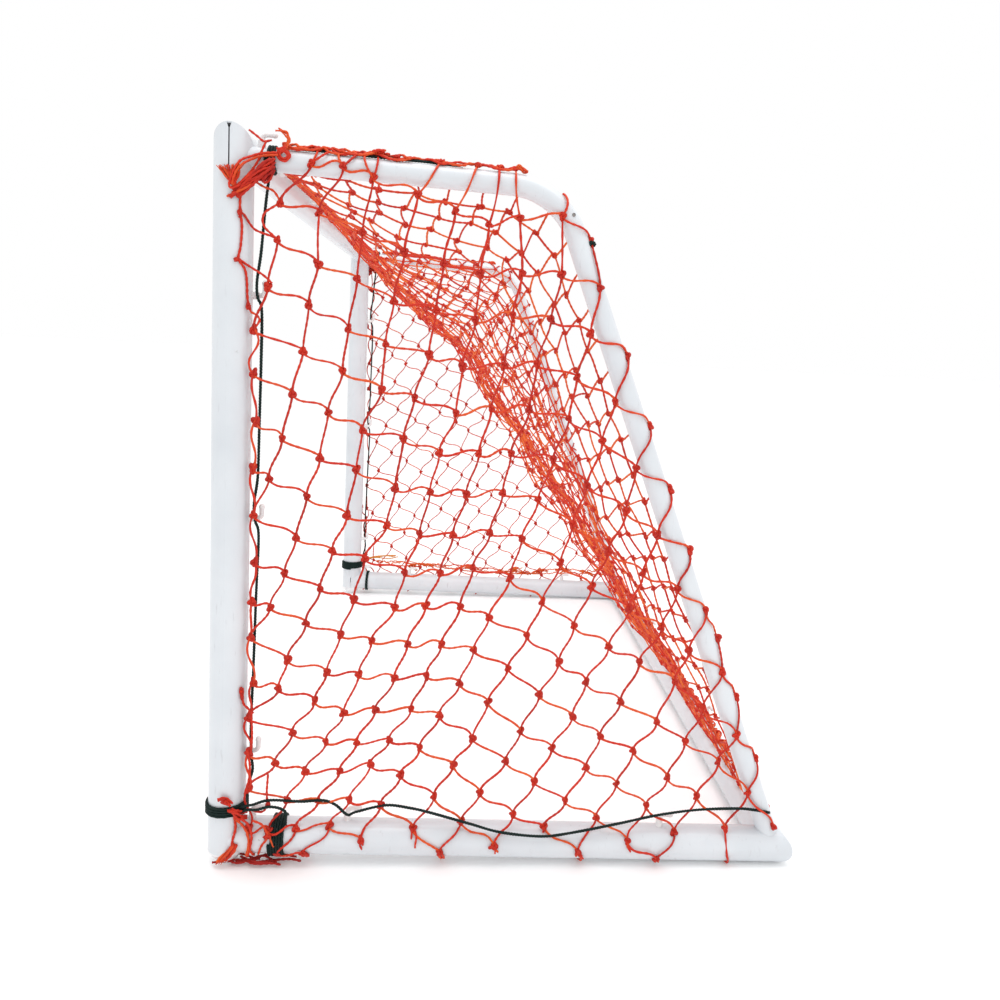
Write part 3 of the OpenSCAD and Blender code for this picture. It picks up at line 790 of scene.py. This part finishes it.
# These two are given from the middle to the right, and mirrored
CROSSBAR_CORD = [
    (0, -327, 895.5), (115, -328, 893), (230, -327, 895.5), (345, -328, 893),
    (460, -327, 895.5), (555, -328, 894),
]
REAR_BORDER = [
    (0, 366, 49), (115, 363, 49), (230, 366, 49), (345, 363, 49), (460, 366, 49),
    (555, 362, 49),
]
CORD_STEP = 0.0012
WIND_PITCH = 0.0034
WIND_GAP = 0.0001
POST_WINDINGS = {"right": (0.0761, 4.2), "left": (0.0778, 5.2)}  # height, turns
BASE_WINDINGS = {"right": (-0.2922, 5.2), "left": (-0.3163, 2.2)}  # y, turns
TOP_WINDING_Y, TOP_WINDING_TURNS = -0.3136, 3.2
BASE_WAY = np.array([0, REAR_Y - POST_Y, REAR_Z - BASE_FRONT_Z])


def both_ways(half):
    half = metres(half)
    return np.vstack([half[:0:-1] * [-1, 1, 1], half])


def cord_piece(name, paths, replaced, mirror=False):
    pile = Pile()
    for path in paths:
        places = np.arange(0, len(path) + 12, 12)
        thick = np.interp(np.arange(len(path)), places, rng.uniform(1.02, 1.2, len(places)))
        shade = rng.uniform(0.4, 0.6)
        sweep(pile, path, CORD_R, 12, plies=3, lobe=0.13, lay=0.011, shade=shade, taper=thick)
    piece = pile.build(name, CORD, mirror)
    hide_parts(replaced)


def helix(centre, axis, core, turns, pitch):
    """Cord wound round a core, its middle at the centre."""
    axis = unit(np.asarray(axis, float))
    first = unit(np.cross(axis, [0, 1.0, 0.1]))
    second = np.cross(axis, first)
    a = np.linspace(0, turns * math.tau, int(turns * 60))[:, None]
    ring = (core + CORD_R) * (np.cos(a) * first + np.sin(a) * second)
    return np.asarray(centre) + ring + axis * (a / math.tau - turns / 2) * pitch


def winding(name, centre, axis, tube_r, turns, replaced, mirror):
    path = helix(centre, axis, tube_r + WIND_GAP, turns, WIND_PITCH)
    cord_piece(name, [path], replaced, mirror)


def top_cord():
    """Over the right top run, rolled a little outwards and then inwards of its top line."""
    roll = np.radians(np.interp(np.arange(17), [0, 7, 9, 15, 16], [11, 11, -35, -35, 20]))
    away = HOOP_R + CORD_R + 0.0004
    yz = hoop_at(np.linspace(0.058, TOP_RUN + BEND_RUN + 0.014, 17), away * np.cos(roll))
    return np.concatenate([(POST_X + away * np.sin(roll))[:, None], yz], 1)


for side, mirror in (("right", False), ("left", True)):
    path = smooth_path(metres(POST_CORD), CORD_STEP)
    cord_piece(f"{side}_post_lacing", [path], f"{side}_post_cord", mirror)
    z, turns = POST_WINDINGS[side]
    centre = (POST_X, POST_Y, z)
    name, replaced = f"{side}_post_winding", f"{side}_post_wrap"
    winding(name, centre, (0, 0, 1), POST_R, turns, replaced, mirror)
    y, turns = BASE_WINDINGS[side]
    centre = (POST_X, y, base_z(y))
    name, replaced = f"{side}_base_winding", f"{side}_base_wrap"
    winding(name, centre, BASE_WAY, BASE_R, turns, replaced, mirror)
    centre = (POST_X, *hoop_at(TOP_WINDING_Y - POST_Y))
    name, replaced = f"{side}_top_winding", f"{side}_top_wrap"
    winding(name, centre, (0, *TOP_DIR), HOOP_R, TOP_WINDING_TURNS, replaced, mirror)

route = top_cord()
end_knot = helix(route[-1], route[-1] - route[-2], 0.0012, 2.0, 0.0022)
cord_piece("right_top_lacing", [smooth_path(route, CORD_STEP), end_knot], "right_top_cord")
for name, route, replaced in (
    ("right_base_lacing", metres(BASE_CORD), "right_base_cord"),
    ("right_tie_lacing", metres(TIE_CORD), "right_tie_cord"),
    ("crossbar_lacing", both_ways(CROSSBAR_CORD), "crossbar_cord"),
):
    cord_piece(name, [smooth_path(route, CORD_STEP)], replaced)

# ---- loose ends, tufts and border strands ----

STRAND_STEP = 0.002
LUMP_THICK = 0.9
TOP_BORDER_POINTS = 90


def on_post(points, lift=0.0):
    """(y, z) points in millimetres, laid on the outer face of the right post or behind it."""
    yz = metres(points)
    radius = POST_R + TWINE_R + lift
    x = POST_X + np.sqrt(np.maximum(radius**2 - (yz[:, 0] - POST_Y) ** 2, 0))
    return np.concatenate([np.maximum(x, 0.600 + lift)[:, None], yz], 1)


def strand(pile, path, thick=1.0, shade=None):
    shade = rng.uniform(0.3, 0.65) if shade is None else shade
    sweep(pile, smooth_path(path, STRAND_STEP), TWINE_R * thick, shade=shade)


def tuft(pile, root, tips, count, thick, shade):
    """A frayed end: fine fibres that fan out from root to points between the two tips."""
    root, tips = np.array(root), np.array(tips)
    for _ in range(count):
        tip = tips[0] + (tips[1] - tips[0]) * rng.random() + rng.normal(0, 0.0012, 3)
        middle = (root + tip) / 2 + rng.normal(0, 0.0012, 3)
        path = smooth_path([root + rng.normal(0, 0.0008, 3), middle, tip], STRAND_STEP)
        fade = np.linspace(1, 0.4, len(path))
        fibre_shade = shade + rng.uniform(-0.2, 0.2)
        sweep(pile, path, TWINE_R * thick, sides=5, shade=fibre_shade, taper=fade)


def lump(pile, centre, size, count, shade=0.3):
    """A pulled-up bunch of twine: short strands wound through one another."""
    centre, size = np.array(centre), np.array(size)
    for _ in range(count):
        a = rng.normal(0, 1, (6, 3))
        path = centre + size * a / np.maximum(np.linalg.norm(a, axis=1, keepdims=True), 1) * 0.9
        strand(pile, path, LUMP_THICK, shade + rng.uniform(-0.15, 0.2))


def bundle(pile, start, end, start_spread, end_spread, count, bulge, shade):
    """Strands that run together from one place to another, each on its own slack line."""
    start, end, bulge = (np.array(q, float) for q in (start, end, bulge))
    for _ in range(count):
        a = start + np.array(start_spread) * rng.uniform(-1, 1, 3)
        b = end + np.array(end_spread) * rng.uniform(-1, 1, 3)
        lift = bulge * rng.uniform(0.4, 1.5)
        early = a + (b - a) * 0.33 + lift + rng.normal(0, 0.0015, 3)
        late = a + (b - a) * 0.7 + lift * 0.8 + rng.normal(0, 0.0018, 3)
        thick = rng.uniform(0.85, 1.1)
        strand(pile, [a, early, late, b], thick, shade + rng.uniform(-0.25, 0.2))


def top_corner(pile):
    """Loose twine from the winding on the top run across to the post, and down it."""
    over = [(603, -337, 907), (604, -327, 900), (604, -320, 895), (603, -311, 897)]
    strand(pile, metres(over), 0.9)
    short = [(-317, 896), (-322, 884), (-325, 875), (-332, 863), (-341, 849), (-345, 838)]
    strand(pile, on_post(short, 0.004), 0.95)
    outer = [
        (-304, 883), (-322, 881), (-334, 877), (-343, 871), (-349, 862), (-354, 848),
        (-355, 839), (-348, 840), (-340, 846), (-331, 854),
    ]
    strand(pile, on_post(outer, 0.005), 1.0, 0.5)
    inner = [
        (-303, 880), (-321, 878), (-332, 874), (-341, 867), (-347, 859), (-351, 848),
        (-352, 842),
    ]
    strand(pile, on_post(inner, 0.006), 1.0, 0.65)
    # The darker shades of the first two bundles are partly the twine's own deep red and partly
    # painted shade, for strands that lie shadowed in the tangle
    for start, end, spread, end_spread, count, bulge, shade in (
        ((609, -308, 872), (612, -350, 833), (2, 3, 9), (1, 6, 6), 14, (2, 1, 3), 0.3),
        ((606, -310, 862), (607, -322, 850), (2, 4, 6), (2, 5, 4), 8, (2, 0, -4), 0.15),
        ((612, -331, 846), (612, -357, 829), (1, 3, 3), (0.5, 2, 2), 4, (1, 0, -1), 0.5),
    ):
        start, end, spread, end_spread = map(metres, (start, end, spread, end_spread))
        bundle(pile, start, end, spread, end_spread, count, metres(bulge), shade)
    down = [
        (-344, 840), (-345, 826), (-345, 814), (-343, 797), (-344, 774), (-346, 759),
        (-340, 748), (-338, 735), (-337, 712), (-333, 698),
    ]
    strand(pile, on_post(down), 1.0, 0.45)
    for to_net in (
        [(-345, 813), (-341, 810), (-335, 800), (-329, 794), (-318, 790), (-308, 787), (-303, 784)],
        [(-346, 759), (-338, 753), (-326, 746), (-318, 741), (-309, 733)],
        [(-333, 698), (-327, 695), (-323, 690), (-325, 684), (-330, 679)],
        [(-329, 849), (-320, 844), (-309, 840), (-301, 829)],
    ):
        strand(pile, on_post(to_net), 0.95)
    slack = [
        (600, -301, 827), (600, -310, 821), (597.5, -319, 815), (596.5, -322, 806),
        (599, -318, 797), (600, -309, 789), (600, -304, 785),
    ]
    strand(pile, metres(slack), 0.95)
    ring = metres([
        (-304, 887), (-296, 886), (-291, 881), (-296, 875), (-303, 879), (-302, 886),
        (-294, 890),
    ])
    middle = metres((-297, 881))
    for grow in (1.0, 0.72, 1.2):
        x = np.full((7, 1), 0.6035) + rng.normal(0, 0.0006, (7, 1))
        strand(pile, np.concatenate([x, middle + (ring - middle) * grow], 1), 0.9, 0.5)
    curl = [
        (601, -303, 884), (601, -297, 891), (601, -292, 898), (601, -295, 906),
        (601, -303, 909),
    ]
    for _ in range(5):
        strand(pile, metres(curl) + rng.normal(0, 0.0012, (5, 3)), 0.7, 0.75)
    tips = on_post([(-371, 862), (-344, 866)], 0.003)
    tuft(pile, on_post([(-351, 842)], 0.004)[0], tips, 60, 0.72, 0.62)
    for spot, size in (
        ((-345, 812), (0.0025, 0.0025, 0.006)),
        ((-347, 758), (0.0025, 0.0045, 0.003)),
        ((-336, 705), (0.0025, 0.003, 0.007)),
    ):
        lump(pile, on_post([spot], 0.001)[0], size, 3)


def bottom_corner(pile, mirror):
    """Twine gathered under the winding on the post, down to the ground."""
    for start, end, lift, spread, end_spread, count, bulge in (
        ((-358, 94), (-346, 88), 0.004, (2, 5, 3), (2, 4, 2), 7, (1, 0, 4)),
        ((-348, 79), (-331, 69), 0.003, (2, 3, 3), (2, 4, 4), 9, (2, 0, 1)),
    ):
        start, end = on_post([start], lift)[0], on_post([end], lift)[0]
        bundle(pile, start, end, metres(spread), metres(end_spread), count, metres(bulge), 0.4)
    strand(pile, on_post([(-344, 74), (-342, 54), (-345, 38), (-346, 22)], 0.001), 1.1)
    for thick, *path in (
        (1.0, (611, -341, 68), (611, -332, 59), (612, -325, 46), (612, -325, 30), (606, -329, 16)),
        (1.0, (611, -335, 69), (611, -326, 61), (612, -321, 48), (612, -322, 34), (606, -327, 15)),
        (0.95, (606, -334, 75), (606, -325, 78), (605, -315, 74), (604, -308, 75), (603, -304, 83)),
        (0.95, (609, -321, 65), (610, -309, 60), (611, -303, 51), (612, -301, 44),
         (611, -309, 32), (604, -314, 17)),
        (0.95, (603, -304, 83), (603, -305, 100), (602, -304, 122)),
    ):
        strand(pile, metres(path), thick)
    lump(pile, (0.604, -0.303, 0.083), (0.002, 0.003, 0.005), 3)
    lump(pile, (0.6125, -0.302, 0.045), (0.002, 0.005, 0.004), 4)
    tuft(pile, (0.611, -0.343, 0.034), metres([(609, -365, 8), (611, -352, 12)]), 26, 0.6, 0.6)
    start, end = metres((611, -341, 36)), metres((609, -358, 9))
    bundle(pile, start, end, metres((1, 3, 3)), metres((1, 6, 2)), 5, metres((0, 0, -3)), 0.6)
    # On the left these are drawn but not laid: they would show through the gap under its tube
    for y in metres((-345, -335, -326, -318, -309, -298, -289)):
        x, z = rng.uniform(0.588, 0.609, 4), rng.uniform(0.0035, 0.0085, 4)
        wander = [y + (i - 1.5) * 0.018 + rng.normal(0, 0.003) for i in range(4)]
        # These strands lie on the ground in the shadow under the base tube: their darkest shade is
        # painted shadow
        shade = rng.uniform(-0.15, 0.1)
        if not mirror:
            strand(pile, np.stack([x, wander, z], 1), 1.0, shade)


def post_border(pile):
    """The border strand of the side net beside the foot of the post."""
    edge = [
        (-338, 222), (-337, 233), (-336, 214), (-327, 201), (-325, 164), (-329, 151),
        (-327, 131), (-328, 114), (-333, 95),
    ]
    strand(pile, on_post(edge), 1.0, 0.45)
    lump(pile, on_post([(-338, 228)], 0.001)[0], (0.002, 0.0028, 0.009), 3)
    lump(pile, on_post([(-327, 201)])[0], (0.002, 0.003, 0.005), 3)
    lump(pile, on_post([(-329, 150)])[0], (0.002, 0.0028, 0.009), 3)


def top_border(name, mirror, lean):
    """The net's border on top of the hoop, wound over and beside the lacing cord."""
    pile = Pile()
    n = TOP_BORDER_POINTS
    run = np.linspace(0.056, TOP_RUN + 0.12 * BEND_RUN, n)
    thin = np.clip((run - 0.19) / 0.05, 0, 1)
    for k, last in enumerate((n, n, 48, 40)):
        drift = np.cumsum(rng.normal(0, 0.35, n))
        wave = np.sin(run * 105 + k * 2.1 + drift * 0.35)
        side = lean + (0.0042 - 0.0012 * thin) * wave
        over = np.exp(-(((side - 0.003) / 0.0034) ** 2))
        radial = HOOP_R + TWINE_R + 0.0004 + over * 2 * CORD_R + (0.0016 if k > 1 else 0)
        angle = side / HOOP_R
        x = POST_X + radial * np.sin(angle)
        path = np.concatenate([x[:, None], hoop_at(run, radial * np.cos(angle))], 1)
        strand(pile, path[:last], 1.0, rng.uniform(0.45, 0.72))
    for spot in (0.098, 0.125, 0.150, 0.190, 0.243, 0.287, 0.313, 0.331):
        centre = np.append(POST_X + 0.0055, hoop_at(spot, HOOP_R + 0.0038))
        lump(pile, centre, (0.003, 0.0048, 0.003), 4, 0.4)
    for spot, reach, rise in ((0.158, 0.018, 0.009), (0.331, 0.012, 0.003)):
        root = np.append(POST_X + 0.0055, hoop_at(spot, HOOP_R + 0.0055))
        tip = np.append(POST_X + 0.0065, hoop_at(spot + reach, HOOP_R + rise))
        spread, tip_spread = (0.0005, 0.001, 0.0008), (0.0006, 0.0015, 0.0012)
        bundle(pile, root, tip, spread, tip_spread, 4, (0, 0, 0.001), 0.65)
    pile.build(name, TWINE, mirror)


def base_border():
    """The left net's border: loose strands and frayed bits that hang over the base tube."""
    pile = Pile()
    line = smooth_path(metres(BASE_CORD), 0.003)[14:-8]
    n = len(line)
    line[:, 2] = 0.3 * line[:, 2] + 0.7 * (base_z(line[:, 1]) + 0.040)
    for k, last in enumerate((n, n, n // 2)):
        wander = np.cumsum(rng.normal(0, 0.3, n)) + k * 2.1
        x, y, z = 0.002 * np.sin(wander * 1.7), 0.003 * np.cos(wander * 1.3), np.sin(wander)
        shift = np.stack([x, y, 0.0065 * z], 1)
        strand(pile, (line + shift)[:last], 1.0, rng.uniform(0.7, 1.0))
    spread, end_spread = metres((1, 3, 2)), metres((1, 5, 4))
    for i in rng.choice(np.arange(4, n - 6), 20, replace=False):
        start = line[i] + [0.001, 0, rng.uniform(-0.006, 0.005)]
        way = np.array([0, rng.uniform(0.010, 0.034), rng.uniform(-0.009, 0.008)])
        bundle(pile, start, start + way, spread, end_spread, 3, (0, 0, 0.002), 0.85)
        tips = [start + 1.3 * way, start + 1.4 * way + [0, 0, 0.006]]
        tuft(pile, start + way, tips, 4, 0.5, 1.05)
    start, end, end_spread = metres((600, -323, 90)), metres((602, -245, 97)), metres((1, 6, 2))
    bundle(pile, start, end, spread, end_spread, 5, (0, 0, 0.002), 1.25)
    pile.build("left_base_border", TWINE, True)


def rear_border():
    """The back net's border on the rear bar: four strands wound together, on the hooks."""
    pile = Pile()
    line = smooth_path(both_ways(REAR_BORDER), 0.003)
    n = len(line)
    for k in range(4):
        phase = np.cumsum(rng.uniform(0.25, 0.65, n)) + k * math.tau / 4
        swell = np.abs(np.sin(np.cumsum(rng.normal(0, 0.25, n)) + k))
        reach = TWINE_R * (1.3 + 0.9 * swell)
        turn = np.stack([np.zeros(n), np.cos(phase) * reach, np.sin(phase) * reach], 1)
        strand(pile, line + turn, 1.0, rng.uniform(0.4, 0.8))
    pile.build("rear_border", TWINE)


for side, mirror, lean in (("right", False, 0.004), ("left", True, -0.002)):
    corner = Pile()
    top_corner(corner)
    bottom_corner(corner, mirror)
    post_border(corner)
    corner.build(f"{side}_loose_ends", TWINE, mirror)
    top_border(f"{side}_top_border", mirror, lean)
base_border()
rear_border()

# ---- floor and light ----

FLOOR_GREY = (0.96, 0.96, 0.96, 1)
WHITE = (1, 1, 1, 1)
FLOOR_HALF = 40
LIGHT_AT, LIGHT_AIM = Vector((0.6, 0.2, 3.2)), Vector((0, 0, 0.4))

floor_material, _, floor_shader = material("floor")
floor_shader.inputs["Base Color"].default_value = FLOOR_GREY
floor_shader.inputs["Roughness"].default_value = 0.9
floor_shader.inputs["Emission Color"].default_value = WHITE
floor_shader.inputs["Emission Strength"].default_value = 0.06
corners = [(x * FLOOR_HALF, y * FLOOR_HALF, 0) for x, y in ((-1, -1), (1, -1), (1, 1), (-1, 1))]
floor_mesh = bpy.data.meshes.new("floor")
floor_mesh.from_pydata(corners, [], [(0, 1, 2, 3)])
floor_mesh.materials.append(floor_material)
floor = bpy.data.objects.new("floor", floor_mesh)
bpy.context.scene.collection.objects.link(floor)

world = bpy.data.worlds.new("studio")
bpy.context.scene.world = world
world.use_nodes = True
world.node_tree.nodes["Background"].inputs[0].default_value = WHITE
world.node_tree.nodes["Background"].inputs[1].default_value = 1.0

light_data = bpy.data.lights.new("top_light", "AREA")
light_data.size = 2.5
light_data.energy = 42
light = bpy.data.objects.new("top_light", light_data)
light.location = LIGHT_AT
light.rotation_euler = (LIGHT_AIM - LIGHT_AT).to_track_quat("-Z", "Y").to_euler()
bpy.context.scene.collection.objects.link(light)
